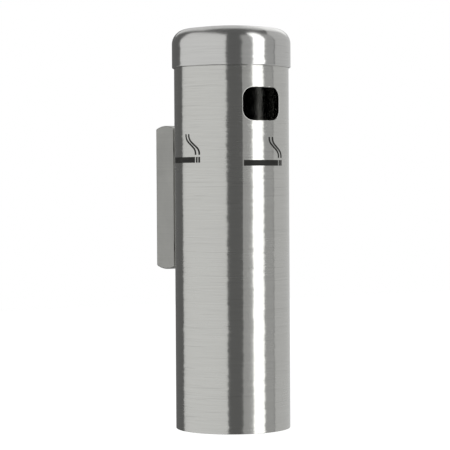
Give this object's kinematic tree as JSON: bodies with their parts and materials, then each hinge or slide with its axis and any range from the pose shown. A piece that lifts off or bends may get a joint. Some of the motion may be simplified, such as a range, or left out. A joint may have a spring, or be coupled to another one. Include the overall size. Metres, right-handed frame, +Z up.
{
  "type": "wall-mounted ash bin",
  "caption": "Wall-mounted stainless steel tube for cigarette ends, with a lift-off cap, a front opening, a lift-out liner and a keyed wall tray",
  "frame": {"origin": "middle of the two wall-fixing holes, on the wall face", "axes": "+Z up, the front with the opening faces -Y, +X to the right seen from the front; the wall is at y = 0"},
  "size_m": [0.0788, 0.1004, 0.2668],
  "materials": {
    "tube_steel": "fine brushing that runs round the tube",
    "tray_steel": "satin, blasted after pressing",
    "plain_steel": "plain mill finish, unpolished",
    "liner_steel": "dull mill finish, stained inside",
    "fastener_steel": "bright stainless steel fasteners and wire",
    "lock_chrome": "nickel plated",
    "lock_brass": "turned brass",
    "rubber": "black matt rubber",
    "print_black": "black printed film"
  },
  "bodies": {
    "wall_mount": {"wall_tray": "tray_steel", "hook": "plain_steel", "rubber_buffers": "rubber"},
    "bin": {"outer_tube": "tube_steel", "base_cup": "plain_steel", "liner_pads": "rubber", "hanger_plate": "plain_steel", "hanger_pillars": "fastener_steel", "saddle_washers": "fastener_steel", "tube_screws": "fastener_steel", "hanger_screws": "fastener_steel", "lock_barrel": "lock_chrome", "lock_nut": "lock_chrome", "front_pictogram": "print_black", "left_pictogram": "print_black", "right_pictogram": "print_black"},
    "lock": {"lock_plug": "lock_brass", "lock_cam": "plain_steel", "cam_screw": "fastener_steel"},
    "cap": {"cap_shell": "tube_steel", "cap_collar": "plain_steel", "cap_gasket": "rubber"},
    "liner": {"liner_can": "liner_steel", "liner_ears": "plain_steel", "ear_rivets": "fastener_steel"},
    "bail": {"liner_bail": "fastener_steel"}
  },
  "joints": [
    {"name": "bin_lift", "type": "slide", "parent": "wall_mount", "child": "bin", "axis": [0, 0, 1], "range_m": [0, 0.012]},
    {"name": "lock_turn", "type": "hinge", "parent": "bin", "child": "lock", "pos_m": [0, -0.0127, -0.042], "axis": [0, 0, -1], "range_deg": [-90, 0]},
    {"name": "cap_lift", "type": "slide", "parent": "bin", "child": "cap", "axis": [0, 0, 1], "range_m": [0, 0.04]},
    {"name": "liner_lift", "type": "slide", "parent": "bin", "child": "liner", "axis": [0, 0, 1], "range_m": [0, 0.045]},
    {"name": "bail_swing", "type": "hinge", "parent": "liner", "child": "bail", "pos_m": [0, -0.061, 0.0447], "axis": [1, 0, 0], "range_deg": [0, 180]}
  ]
}
